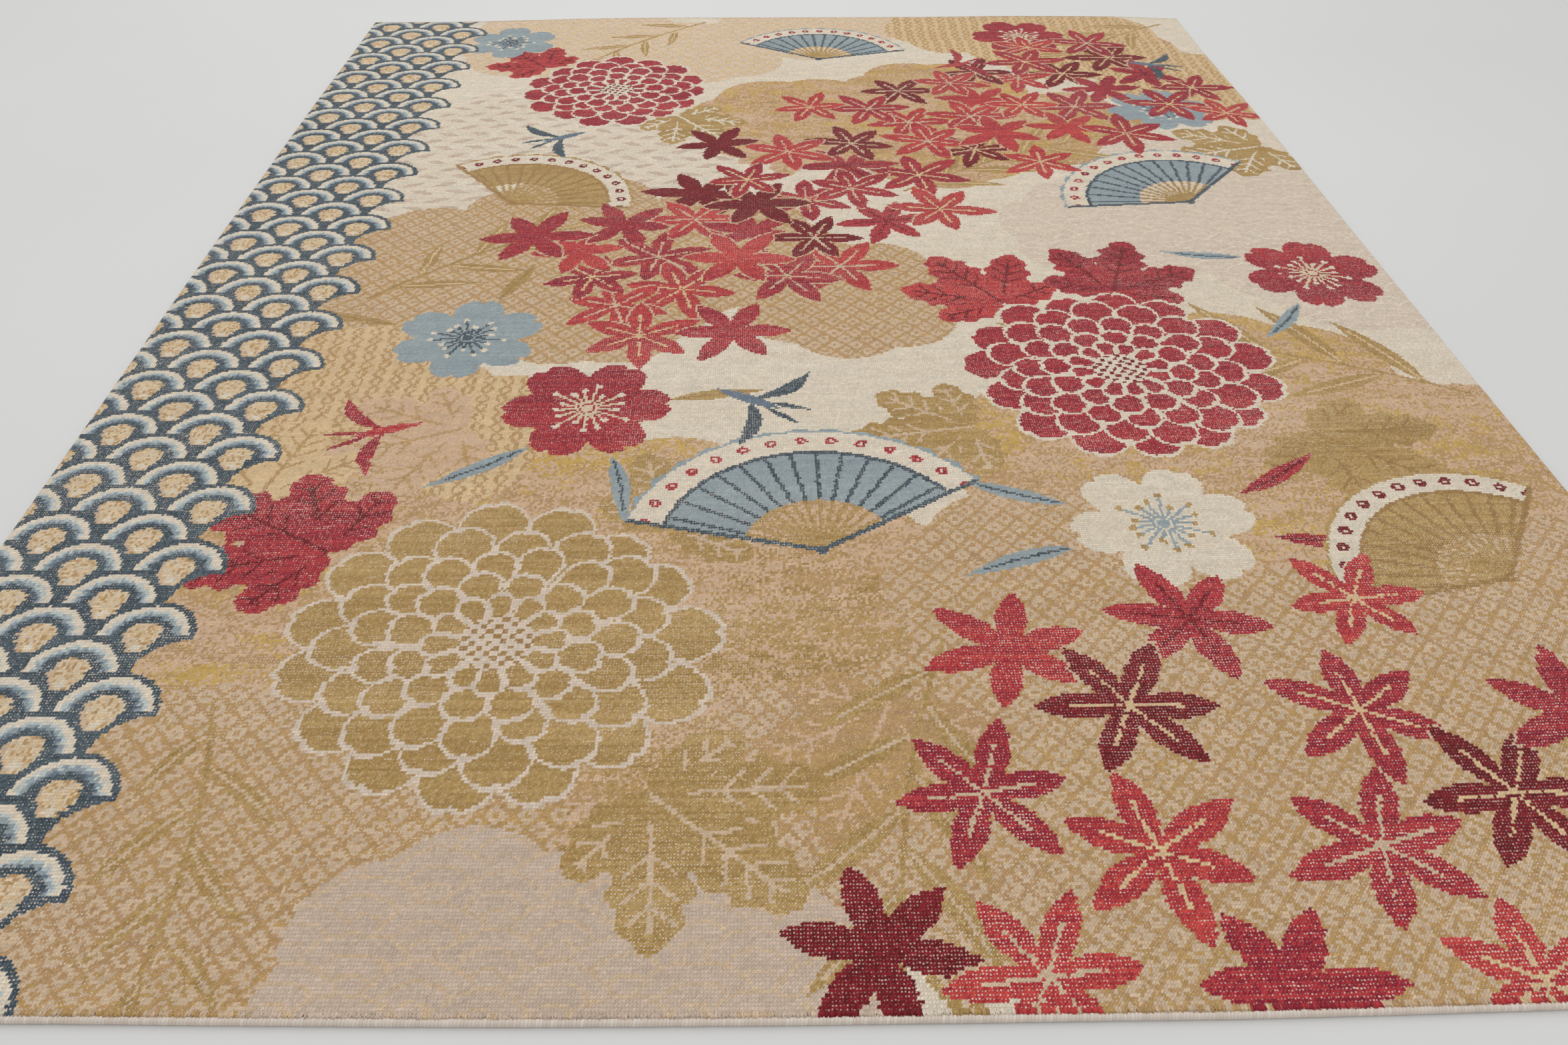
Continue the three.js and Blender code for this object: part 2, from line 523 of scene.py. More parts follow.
def tieStar(x, y, turn, size, yarn, vein):
    # A star lily: six pointed petals of uneven length
    patch = Patch(x, y, turn, size * 1.15)
    body, margin, veins = patch.reach < size * 0.2, patch.none.copy(), patch.none.copy()
    for number in range(6):
        u, v = patch.sides(number * math.tau / 6 + draw.normal(0, 0.06))
        t = u / (size * draw.uniform(0.88, 1.08))
        half = swell(t) ** 0.9 * size * 0.185
        body |= np.abs(v) < half
        margin |= (np.abs(v) < half + lineReach["starMargin"]) & (t > 0) & (t < 1.02)
        veins |= (np.abs(v) < lineReach["starVein"]) & (t > 0) & (t < 0.62)
    over = np.isin(knots[patch.window], reds)
    patch.tie(margin & over, "wheat")  # a pale line only where it lies over another
    patch.tie(body, yarn)
    if vein:
        patch.tie(veins & (patch.luck > 0.08), vein)


def tieRosette(x, y, turn, size, yarn, edging, dots):
    # Five rings of rounded petals, the inner ones over the outer ones, around a dotted heart
    patch = Patch(x, y, turn, size * 1.1)

    def rounded(d):
        return 1 - 0.15 * d ** 2.4 - 0.022 * np.clip(1 - d / 0.16, 0, 1)

    for ring in range(5):
        count = 15 if ring < 3 else 12
        for tip, side, _ in petals(patch, count, size * (1 - 0.165 * ring), rounded, 0.05, ring % 2):
            here = (tip > 0) & (side > -0.001)
            patch.tie(here, yarn)
            patch.tie(here & ((tip < lineReach["petalTip"]) | (side < lineReach["petalSide"])), edging)
    heart = patch.reach < size * 0.175
    patch.tie(heart, edging)
    u, v = patch.sides()
    cell = 0.0245  # from dot to dot
    lattice = np.abs(((u + v) / cell) % 1 - 0.5) + np.abs(((u - v) / cell) % 1 - 0.5)
    patch.tie(heart & (lattice < 0.42), dots)


def tieBlossom(x, y, turn, size, yarn, stamens, anthers):
    patch = Patch(x, y, turn, size * 1.1)

    def notched(d):
        return 1 - 0.34 * d ** 2.8 - 0.075 * np.clip(1 - d / 0.15, 0, 1)

    flower = patch.none.copy()
    for tip, _, _ in petals(patch, 6, size, notched, 0.04):
        flower |= tip > 0
    patch.tie(flower, yarn)
    rays = 17
    ray = np.abs((patch.angle * rays / math.tau) % 1 - 0.5) * patch.reach * math.tau / rays
    long = size * (0.36 + 0.10 * np.sin(np.floor(patch.angle * rays / math.tau) * 2.4))
    patch.tie((ray < lineReach["stamen"]) & (patch.reach > size * 0.10) & (patch.reach < long), stamens)
    patch.tie((ray < 0.0060) & (np.abs(patch.reach - long - 0.006) < 0.0058), anthers)
    patch.tie(patch.reach < size * 0.075, stamens)


def tieFan(x, y, turn, size, yarn, ribs, spots):
    # An open folding fan, laid by its pivot
    half, folds = 1.162, 13  # half of its opening in radians, and its folds
    patch = Patch(x, y, turn, size * 1.05)
    opened = (patch.angle + math.pi) % math.tau - math.pi
    phase = (opened * folds / (2 * half) + 0.5) % 1 - 0.5  # 0 on the line of a rib
    foldWidth = patch.reach * half * 2 / folds
    part = patch.reach / size
    within = np.abs(opened) < half
    leaf = within & (part > 0.38) & (part < 0.97 + 0.06 * np.abs(phase))
    rim = leaf & (part > 0.785)
    onRib = np.abs(phase) * foldWidth
    patch.tie(leaf, yarn)
    patch.tie(leaf & (onRib < lineReach["fanRib"]), ribs)
    patch.tie(rim, "cream")
    patch.tie(leaf & (np.abs(part - 0.78) < 0.013), ribs)
    spot = np.hypot((0.5 - np.abs(phase)) * foldWidth, patch.reach - size * 0.885)
    patch.tie(rim & (spot < 0.0115), spots)
    patch.tie(rim & (spot < 0.0036), "cream")
    patch.tie(leaf & (part > 0.962), yarn)
    patch.tie(within & (part < 0.38) & (part > 0.03) & (onRib < 0.0042), "ochre")
    guards = (np.abs(np.abs(opened) - half) * patch.reach < lineReach["guard"]) & (part < 0.97)
    patch.tie(guards | (patch.reach < 0.012), ribs)


def tieLobedLeaf(x, y, turn, size, yarn, ribs):
    # Five blades with waved margins, each with its own rib and side ribs
    patch = Patch(x, y, turn, size * 1.1)
    leaf, veins = patch.none.copy(), patch.none.copy()
    for lean, length, breadth in leafBlades:
        u, v = patch.sides(lean + draw.normal(0, 0.05))
        t = u / (size * length * draw.uniform(0.95, 1.05))
        half = swell(t) ** 0.6 * size * breadth * (1 + 0.13 * np.sin(u / size * 36))
        blade = np.abs(v) < half
        leaf |= blade
        veins &= ~blade
        barb = np.abs(((u - np.abs(v) * 0.9) / (size * 0.14)) % 1 - 0.5) * size * 0.14
        veins |= blade & (np.abs(v) < lineReach["leafRib"]) & (t < 0.88)
        veins |= blade & (barb < lineReach["sideRib"]) & (np.abs(v) < half * 0.72) & (t > 0.34) & (t < 0.88)
    patch.tie(leaf, yarn)
    patch.tie(veins & leaf, ribs)


def tieSlenderLeaf(x, y, turn, size, yarn, rib):
    # A bowed blade, laid by its foot
    patch = Patch(x, y, turn, size)
    u, v = patch.sides()
    t = u / size
    v = v + swell(t) * size * draw.uniform(-0.045, 0.045)
    patch.tie(np.abs(v) < swell(t) * (1.25 - 0.5 * t) * size * 0.085, yarn)
    patch.tie((np.abs(v) < lineReach["slenderRib"]) & (t > 0.06) & (t < 0.82), rib)


def tieSpray(x, y, turn, length, bend, pairs, yarn, rib):
    # Slender leaves by turns on both sides of a bending twig, and one at its tip
    heading = math.radians(turn)
    steps = pairs * 2 + 1
    feet = []
    for step in range(steps):
        nextX = x + math.cos(heading) * length / steps
        nextY = y + math.sin(heading) * length / steps
        tieTwig(x, y, nextX, nextY, yarn)
        x, y = nextX, nextY
        heading += bend / steps
        lean = 0 if step == steps - 1 else (0.72 if step % 2 else -0.72) + draw.normal(0, 0.07)
        feet.append((x, y, math.degrees(heading + lean), length * draw.uniform(0.33, 0.39)))
    for leaf in feet:
        tieSlenderLeaf(*leaf, yarn, rib)


def tieSwallow(x, y, turn, size, yarn, back):
    patch = Patch(x, y, turn, size * 1.2)
    for lean in (1.92, -1.92):
        u, v = patch.sides(lean)
        u = u - 0.05 * size
        v = v if lean > 0 else -v
        wing = swell(u / size) * size
        patch.tie(np.abs(v - wing * 0.13) < wing * 0.105, yarn)
    for lean in (2.92, -2.92):
        u, v = patch.sides(lean)
        patch.tie(np.abs(v) < swell((u - 0.22 * size) / (0.62 * size)) * size * 0.045, yarn)
    u, v = patch.sides()
    patch.tie(np.abs(v) < swell((u + 0.45 * size) / (0.98 * size)) * size * 0.095, back)


waves = {
    "pitch": 0.166,
    "step": 0.0798,  # from one row of scales to the next
    "radius": 0.083,
    "start": 0.01375,  # from the middles of the first scales to the left side
    "last": 0.34,  # no scale has its middle further in than this
    "waver": 0.07,
    "ring": (0.565, 0.87),  # inner and outer size, as a share of the radius
    "fade": ((0.73, "mistBlue"), (0.67, "steelBlue"), (0.60, "duskBlue")),  # cream beyond the first
}


def tieWaveBorder():
    # Overlapping scales along the left side, each with a ring that fades from pale to dusk blue
    x = allX + chartWidth / 2 + waves["start"]
    dx, dy, middle = scaleHere(x, allY + chartLength / 2, waves)
    reach = np.hypot(dx, dy) / waves["radius"]
    height, side = dy / waves["radius"], np.abs(dx) / waves["radius"]
    here = middle < waves["last"]
    waver = (luck - 0.5) * waves["waver"]
    knots[here] = yarnNumber["slate"]
    inner, outer = waves["ring"]
    ringed = here & (height > 0.03) & (reach + waver > inner) & (reach + waver * 0.3 < outer)
    knots[ringed] = yarnNumber["cream"]
    for limit, yarn in waves["fade"]:
        knots[ringed & (reach + waver * 1.3 < limit)] = yarnNumber[yarn]
    taper = np.minimum(height, 0) * 0.45  # the middles narrow below the line of the scale's ends
    drop = here & (side < 0.35 + taper + waver) & ((reach < 0.41) | (height < 0)) & (height > -0.42)
    knots[drop] = yarnNumber["paleGold"]
    knots[drop & (luck < 0.22)] = yarnNumber["gold"]
    knots[drop & (luck > 0.50)] = yarnNumber["oatmeal"]
    knots[drop & (dx < 0) & (side > 0.27 + taper)] = yarnNumber["wheat"]
    knots[drop & (side + np.abs(height + 0.28) < 0.12)] = yarnNumber["cream"]
    missing = (middle > waves["last"]) & (middle < waves["last"] + waves["pitch"] / 2)
    knots[missing & (dx < 0) & (reach > 0.885)] = yarnNumber["slate"]


# Where the motifs lie: x, y, turn in degrees, size, and the yarns

rosettes = (
    (0.66, -0.42, 8, 0.325, "crimson", "cream", "burgundy"),
    (-0.50, 1.16, 20, 0.285, "crimson", "cream", "burgundy"),
    (-0.50, -1.20, 3, 0.345, "ochre", "shell", "umber"),
)
blossoms = (
    (0.62, -0.92, 10, 0.165, "cream", "steelBlue", "ochre"),
    (-0.70, -0.28, 25, 0.160, "steelBlue", "slate", "cream"),
    (-0.42, -0.55, 5, 0.170, "crimson", "oatmeal", "cream"),
    (1.10, 0.98, 14, 0.155, "steelBlue", "slate", "cream"),
    (0.80, 1.62, 0, 0.155, "crimson", "oatmeal", "cream"),
    (-0.88, 1.60, 30, 0.145, "steelBlue", "slate", "cream"),
    (1.20, -0.02, 18, 0.160, "crimson", "oatmeal", "cream"),
)
fans = (
    (0.02, -0.98, 100, 0.36, "steelBlue", "slate", "crimson"),
    (-0.70, 0.38, 60, 0.31, "ochre", "umber", "burgundy"),
    (1.02, 0.36, 118, 0.33, "steelBlue", "slate", "crimson"),
    (0.12, 1.42, 82, 0.30, "steelBlue", "slate", "crimson"),
    (1.16, -1.08, 125, 0.30, "ochre", "umber", "burgundy"),
)
swallows = (
    (-0.10, -0.52, 150, 0.15, "slate", "duskBlue"),
    (-0.62, 0.80, 30, 0.14, "slate", "duskBlue"),
    (0.55, 1.36, 200, 0.14, "crimson", "coral"),
    (1.16, 1.36, 160, 0.13, "slate", "duskBlue"),
    (-0.80, -0.62, 20, 0.14, "crimson", "coral"),
)
faintLeaves = (
    (-0.66, -0.62, 200, 0.26, "roseGold", "gold"),
    (-0.98, -0.82, 80, 0.24, "paleGold", "gold"),
    (0.10, -1.34, 250, 0.26, "gold", "roseGold"),
    (0.56, 0.96, 30, 0.24, "roseGold", "gold"),
    (0.02, 0.74, 260, 0.22, "roseGold", "gold"),
)
lobedLeaves = (
    (0.98, -0.66, -40, 0.28, "ochre", "umber"),
    (0.46, -0.14, 120, 0.26, "coral", "burgundy"),
    (0.72, -0.10, 70, 0.26, "crimson", "burgundy"),
    (-0.30, 0.94, -50, 0.23, "ochre", "cream"),
    (-0.74, 1.36, 130, 0.22, "coral", "burgundy"),
    (-0.82, -0.98, 150, 0.29, "crimson", "burgundy"),
    (-0.24, -0.92, 60, 0.26, "ochre", "wheat"),
    (-0.24, -1.50, -40, 0.28, "ochre", "wheat"),
    (1.30, 0.72, 200, 0.27, "ochre", "cream"),
    (0.32, -0.62, 190, 0.25, "ochre", "wheat"),
)
sprays = (  # x, y and turn of the foot, length, how far it bends, pairs of leaves, yarns
    (1.34, -0.52, 152, 0.70, 0.30, 4, "ochre", "paleGold"),
    (0.30, 0.44, 40, 0.62, -0.35, 4, "ochre", "paleGold"),
    (-0.95, -0.10, 48, 0.50, -0.30, 3, "ochre", "paleGold"),
    (1.30, 1.76, 215, 0.60, 0.30, 4, "ochre", "paleGold"),
    (-0.25, 1.78, 220, 0.46, 0.25, 3, "ochre", "paleGold"),
    (0.20, -1.20, 250, 0.60, 0.35, 4, "ochre", "wheat"),
    (-0.90, -1.32, 285, 0.46, -0.3, 3, "ochre", "wheat"),
)
looseLeaves = (
    (0.78, -0.84, 35, 0.21, "crimson", "burgundy"),
    (0.80, -0.96, -8, 0.20, "crimson", "burgundy"),
    (0.46, -0.86, 158, 0.20, "steelBlue", "slate"),
    (0.45, -0.98, 200, 0.21, "steelBlue", "slate"),
    (-0.52, -0.68, 215, 0.21, "steelBlue", "slate"),
    (-0.36, -0.71, 280, 0.20, "steelBlue", "slate"),
    (-0.26, -0.52, 10, 0.19, "ochre", "umber"),
    (1.06, 0.06, 170, 0.19, "steelBlue", "slate"),
    (1.12, -0.16, 230, 0.19, "steelBlue", "slate"),
    (-0.86, -0.22, 160, 0.19, "ochre", "umber"),
    (-0.66, -0.12, 70, 0.19, "ochre", "umber"),
)
drift = {
    "path": (
        (1.18, 1.30), (0.80, 1.12), (0.45, 0.88), (0.16, 0.62), (-0.06, 0.34), (-0.24, 0.08), (-0.52, -0.04),
    ),
    "halfWidth": 0.25,
    "stars": 54,
    "apart": 0.128,
    "sizes": (0.115, 0.145),
}
nearStars = (
    (0.30, -1.22, 20, 0.138, "coral"),
    (0.60, -1.16, 50, 0.142, "crimson"),
    (0.46, -1.34, 5, 0.140, "burgundy"),
    (0.80, -1.36, 33, 0.138, "crimson"),
    (0.22, -1.50, 12, 0.134, "crimson"),
    (0.44, -1.60, 40, 0.140, "coral"),
    (0.74, -1.60, 18, 0.142, "crimson"),
    (0.96, -1.52, 60, 0.138, "burgundy"),
    (0.88, -1.12, 8, 0.124, "coral"),
    (1.12, -1.38, 26, 0.134, "crimson"),
    (0.06, -1.74, 48, 0.136, "burgundy"),
    (0.26, -1.78, 66, 0.130, "coral"),
    (0.56, -1.80, 3, 0.138, "crimson"),
    (0.86, -1.80, 30, 0.132, "coral"),
    (1.18, -1.70, 36, 0.140, "crimson"),
)


def strewnStars():
    # Stars strewn along a path, with a little room between their middles
    path = np.array(drift["path"])
    legs = np.linalg.norm(np.diff(path, axis=0), axis=1)
    ends = np.concatenate(([0], np.cumsum(legs))) / legs.sum()
    strewn = []
    for _ in range(4000):
        if len(strewn) == drift["stars"]:
            break
        along = draw.random()
        aside = np.clip(draw.normal(0, 0.6), -1.4, 1.4) * drift["halfWidth"]
        spots = along, along - 0.01, along + 0.01
        x, y, beforeX, beforeY, afterX, afterY = (
            np.interp(spot, ends, column) for spot in spots for column in path.T
        )
        dx, dy = afterX - beforeX, afterY - beforeY
        x, y = x - aside * dy / math.hypot(dx, dy), y + aside * dx / math.hypot(dx, dy)
        if all(math.hypot(x - other[0], y - other[1]) > drift["apart"] for other in strewn):
            yarn = draw.choice(("crimson", "coral", "burgundy"), p=(0.44, 0.38, 0.18))
            strewn.append((x, y, draw.uniform(0, 72), draw.uniform(*drift["sizes"]), yarn))
    return strewn


knotGround()
for work, motifs in (
    (tieLobedLeaf, faintLeaves),
    (tieSpray, sprays),
    (tieLobedLeaf, lobedLeaves),
    (tieSlenderLeaf, looseLeaves),
    (tieRosette, rosettes),
    (tieBlossom, blossoms),
    (tieFan, fans),
):
    for motif in motifs:
        work(*motif)
for star in (*strewnStars(), *nearStars):
    darkVein = star[4] == "crimson" and draw.random() < 0.3
    tieStar(*star, "burgundy" if darkVein else draw.choice(("wheat", "paleGold", "")))
for swallow in swallows:
    tieSwallow(*swallow)
tieWaveBorder()
print("rug: chart drawn,", knots.size, "knots")


# Field mesh: pile, rim and underside on one grid, closed as one piece. A face holds the knots of four
# columns and three rows.

field = {
    "faceColumns": 4,
    "faceRows": 3,
    "pileHeight": 0.009,
    "pileWear": 0.0008,  # how much lower the trodden pile is
    "unevenness": 0.00012,
    "shoulder": (0.0019, 0.0048, 0.009),  # insets of the first three lines
    "shoulderDrop": (0.0006, 0.0002, 0.0),
    "rim": ((0.0004, 0.0068), (0.0, 0.0035), (0.0012, 0.0)),  # inset, height
    "tufts": ((-1, 3), (1, 1)),  # how many a knot lean out over the whipping, at the near and the far end
    "tuft": {
        "rootWide": (0.0010, 0.0016),  # half of its width where it stands, between these two
        "endWide": (0.0006, 0.0010),
        "reach": (0.0024, 0.0048),
        "lean": (0.0009, 0.0007),  # to the side, on the whole and more or less
        "rise": (0.0086, 0.0091),
        "root": (-0.0035, 0.0068, 0.0083),  # place behind the field's edge, and its lower and upper side
        "endThickness": 0.0006,
    },
    "seed": 5,
}


def gridLines(length, count, step):
    # Three close lines over each shoulder, and lines every few knots between them
    outer = length / 2 - np.array(field["shoulder"])
    inner = (np.arange(step, count, step) / count - 0.5) * length
    return np.concatenate((-outer, inner, outer[::-1]))


def pileTop(x, y):
    broad = np.sin(x / 0.330 + 0.8) * np.cos(y / 0.410 - 0.5)
    small = np.sin((x - 1.6 * y) / 0.190 + 2.1)
    return field["pileHeight"] - field["pileWear"] * (0.5 - 0.34 * broad - 0.16 * small)


def buildField():
    across = gridLines(chartWidth, chart["columns"], field["faceColumns"])
    along = gridLines(chartLength, chart["rows"], field["faceRows"])
    chartX, chartY = (part.ravel() for part in np.meshgrid(across, along))
    total = len(chartX)
    x, y = onRug(chartX, chartY)
    fromEdge = np.minimum(chartWidth / 2 - np.abs(chartX), chartLength / 2 - np.abs(chartY))
    z = pileTop(x, y) - np.interp(fromEdge, field["shoulder"], field["shoulderDrop"])
    uneven = np.random.default_rng(field["seed"]).normal(0, field["unevenness"], total)
    z += np.clip(uneven, -2 * field["unevenness"], 2 * field["unevenness"])
    points, charted = [np.column_stack((x, y, z))], [np.column_stack((chartX, chartY))]
    index = np.arange(total).reshape(len(along), len(across))

    def patches(index):
        return np.stack((index[:-1, :-1], index[:-1, 1:], index[1:, 1:], index[1:, :-1]), -1).reshape(-1, 4)

    def ring(index):
        return np.concatenate((index[0, :-1], index[:-1, -1], index[-1, :0:-1], index[:0:-1, 0]))

    def wall(above, below):
        return np.stack((above, below, np.roll(below, -1), np.roll(above, -1)), -1)

    faces = [patches(index)]
    above = ring(index)
    first = field["shoulder"][0]
    ringX, ringY = chartX[above], chartY[above]
    for inset, height in field["rim"]:
        out = first - inset
        rimX = ringX + np.sign(ringX) * out * (np.abs(ringX) > chartWidth / 2 - first - 1e-6)
        rimY = ringY + np.sign(ringY) * out * (np.abs(ringY) > chartLength / 2 - first - 1e-6)
        x, y = onRug(rimX, rimY)
        points.append(np.column_stack((x, y, np.full(len(x), height))))
        charted.append(np.column_stack((rimX, rimY)))
        below = total + np.arange(len(above))
        faces.append(wall(above, below))
        above, total = below, total + len(below)
    upper = sum(len(part) for part in faces)

    under = total + index
    flat = points[0].copy()
    flat[:, 2] = 0
    points.append(flat)
    charted.append(charted[0])
    faces += [wall(above, ring(under)), patches(under)[:, ::-1]]
    faces.insert(1, leaningTufts(points, charted))
    upper += len(faces[1])
    mesh = bpy.data.meshes.new("woolField")
    mesh.from_pydata(np.concatenate(points).tolist(), [], np.concatenate(faces).tolist())
    mesh.update()
    return mesh, np.concatenate(charted), np.concatenate(faces), upper


def leaningTufts(points, charted):
    # Blunt little prisms, rooted in the last row of the pile at each end, that reach out over the roll
    draw = np.random.default_rng(field["seed"] + 1)
    tuft = field["tuft"]
    faces = []
    for out, perKnot in field["tufts"]:
        count = chart["columns"] * perKnot
        place = ((np.arange(count) + 0.5) / count - 0.5) * (chartWidth - 0.006)
        edgeX, edgeY = onRug(place, np.full(count, out * chartLength / 2))
        rootWide, endWide = draw.uniform(*tuft["rootWide"], count), draw.uniform(*tuft["endWide"], count)
        reach = draw.uniform(*tuft["reach"], count)
        lean, rise = draw.normal(*tuft["lean"], count), draw.uniform(*tuft["rise"], count)
        total = sum(len(part) for part in points)
        for wide, shift, (along, low, high), chartInset in (
            (rootWide, 0, tuft["root"], 0.0038),
            (endWide, lean, (reach, rise - tuft["endThickness"], rise), 0.0016),
        ):
            chartY = np.full(count, out * (chartLength / 2 - chartInset))
            y = edgeY + out * np.broadcast_to(along, count)
            for side, height in ((-1, low), (1, low), (1, high), (-1, high)):
                x = edgeX + shift + side * wide
                points.append(np.column_stack((x, y, np.broadcast_to(height, count))))
                charted.append(np.column_stack((place + side * 0.0006, chartY)))
        corner = total + np.arange(8)[:, None] * count + np.arange(count)
        sides = ((0, 1, 5, 4), (1, 2, 6, 5), (2, 3, 7, 6), (3, 0, 4, 7), (4, 5, 6, 7), (3, 2, 1, 0))
        sides = [side if out > 0 else side[::-1] for side in sides]
        faces += [np.stack([corner[number] for number in side], -1) for side in sides]
    return np.concatenate(faces)


def layKnots(mesh, places, faces):
    # Every face carries the yarns of its twelve knots: one vector for each column, with its three rows
    middles = places[faces].mean(axis=1)
    step = field["faceColumns"], field["faceRows"]
    counts = chart["columns"] // step[0], chart["rows"] // step[1]
    column = np.clip(((middles[:, 0] / chartWidth + 0.5) * counts[0]).astype(int), 0, counts[0] - 1) * step[0]
    row = np.clip(((middles[:, 1] / chartLength + 0.5) * counts[1]).astype(int), 0, counts[1] - 1) * step[1]
    for number in range(step[0]):
        held = np.column_stack([knots[row + up, column + number] for up in range(step[1])])
        layer = mesh.attributes.new(f"knots{number}", "FLOAT_VECTOR", "FACE")
        layer.data.foreach_set("vector", held.astype(np.float32).ravel())


def layMap(mesh, name, places):
    mesh.uv_layers.new(name=name).data.foreach_set("uv", places.astype(np.float32).ravel())


def layFieldMaps(mesh, places, faces, upper):
    # Knots are counted along and across, and the bake map gives three quarters of its room to the pile
    corners = faces.ravel()
    shares = places[corners] / (chartWidth, chartLength)
    layMap(mesh, "knotCount", (shares + 0.5) * (chart["columns"], chart["rows"]))
    isUpper = np.repeat(np.arange(len(faces)) < upper, 4)[:, None]
    points = np.empty(len(mesh.vertices) * 3)
    mesh.vertices.foreach_get("co", points)
    heights, widening = (0, 0.0035, 0.0064, 0.0081), (0.0066, 0.0036, 0.001, 0)
    spread = np.interp(points[2::3][corners], heights, widening)[:, None]  # gives the rim room of its own
    grown = shares * (1 + isUpper * spread / np.array((chartWidth, chartLength)) * 2)
    pile, back = grown * (0.735, 0.985) + (0.3735, 0.5), grown * (0.235, 0.985) + (0.873, 0.5)
    layMap(mesh, "OFBake", np.where(isUpper, pile, back))


def makeField():
    mesh, places, faces, upper = buildField()
    layKnots(mesh, places, faces)
    layFieldMaps(mesh, places, faces, upper)
    mesh.polygons.foreach_set("material_index", (np.arange(len(faces)) >= upper).astype(np.int32))
    mesh.shade_smooth()
    return setOut("knottedWool", mesh)


woolField = makeField()
print("rug: field laid,", len(woolField.data.polygons), "faces")


# Wool

wool = {
    "lotBands": (1.1, 9.0, 0.7),  # how fast the dye lots change across, along, and from row to row
    "lotEdge": (0.42, 0.58),
    "knotTint": 0.20,
    "strandTint": 0.22,
    "rowTint": 0.16,
    "blotchTint": 0.26,
    # painted shade: how much the pile colour darkens in the gaps between tufts
    "tuftShade": 0.58,
    "tuftLean": 0.5,  # knots that a tuft leans over in its row
    "fray": 0.34,  # knots that its end is ragged by
    "tuftHeight": 0.0007,
    "wornRow": (0.58, 0.68),
    "wornPatch": (0.46, 0.62),
    "lessWorn": (180, 460),  # rows over which the wear fades towards the far end
    "wearLost": 0.6,  # and how much of it is gone beyond them
    "warpColour": (226, 209, 192),
    "backPaleness": 0.22,
    "beadHeight": 0.0005,  # of the woven back
    "pile": {"Roughness": 0.92, "Specular IOR Level": 0.2, "Sheen Weight": 0.05, "Sheen Roughness": 0.6},
    "back": {"Roughness": 0.95, "Specular IOR Level": 0.15},
}


def tuftPlace(column, row):
    # Which knot a point of the pile belongs to: tufts lean over in their row, and their ends are ragged
    upRow = fraction(row) - 0.5
    fray, fray2, _ = chances(joined(floorOf(column * 7), floorOf(row * 5 + column * 3), 6))
    drawn = column - upRow * wool["tuftLean"] + (fray - 0.5) * wool["fray"]
    return drawn, row + (fray2 - 0.5) * wool["fray"]


def tiedYarn(column, row, tuftColumn, tuftRow):
    # The yarn number of this knot, from the twelve that the face carries
    held = carried("knots0")
    within = tuftColumn - floorOf(column * (1 / field["faceColumns"])) * field["faceColumns"]
    for number in range(1, field["faceColumns"]):
        held = mixed(within > number, held, carried(f"knots{number}"), "VECTOR")
    near, middle, far = parts(held)
    within = tuftRow - floorOf(row * (1 / field["faceRows"])) * field["faceRows"]
    return mixed(within > 2, mixed(within > 1, near, middle), far)


def dyeLots(yarn, column, row, strandLuck):
    # Two dye lots take turns in bands along the rows
    across, along, perRow = wool["lotBands"]
    x, y = column * (chartWidth / chart["columns"]), row * (chartLength / chart["rows"])
    bands = noise(joined(x * across, y * along, yarn * 2.3), 3)
    runs = noise(joined(x * 2.6, floorOf(row) * perRow, yarn * 3.1), 1)
    amount = ramp01(bands * 0.45 + runs * 0.55 + (strandLuck - 0.5) * 0.34, *wool["lotEdge"])
    firstLot = shadeCard(yarn, [dyed(first) for first, _, _ in yarns.values()])
    secondLot = shadeCard(yarn, [dyed(second) for _, second, _ in yarns.values()])
    return mixedColour(amount, firstLot, secondLot)


def warpShows(yarn, column, row):
    # The pale warp shows between four knots as a dot, and the dots of a worn row run together
    grins = shadeCard(yarn, [(grin, grin, grin, 1.0) for _, _, grin in yarns.values()])
    lineAbove = floorOf(row + 0.5)
    luck, luck2, luck3 = chances(joined(floorOf(column + 0.5), lineAbove, 2))
    run = ramp01(noise(joined(column * 0.12, lineAbove * 7.7, 1.0)), *wool["wornRow"])
    worn = ramp01(noise(joined(column * 0.013, row * 0.024, 3.0)), *wool["wornPatch"])
    shown = ramp01(luck * 1.5 + worn * 0.6 + run * 0.7, 0.50, 1.8)
    dotX = (fraction(column + 0.5) - 0.5 + (luck2 - 0.5) * 0.35) * 4.4
    dotY = (fraction(row + 0.5) - 0.5 + (luck3 - 0.5) * 0.3) * 5.4
    dot = 1 - ramp01(dotX * dotX * (1.0 - run * 0.5) + dotY * dotY * 0.8 - shown, 0.0, 0.9)
    trodden = 1 - ramp01(row, *wool["lessWorn"]) * wool["wearLost"]
    return dot * (0.25 + shown * 0.75) * grins * trodden


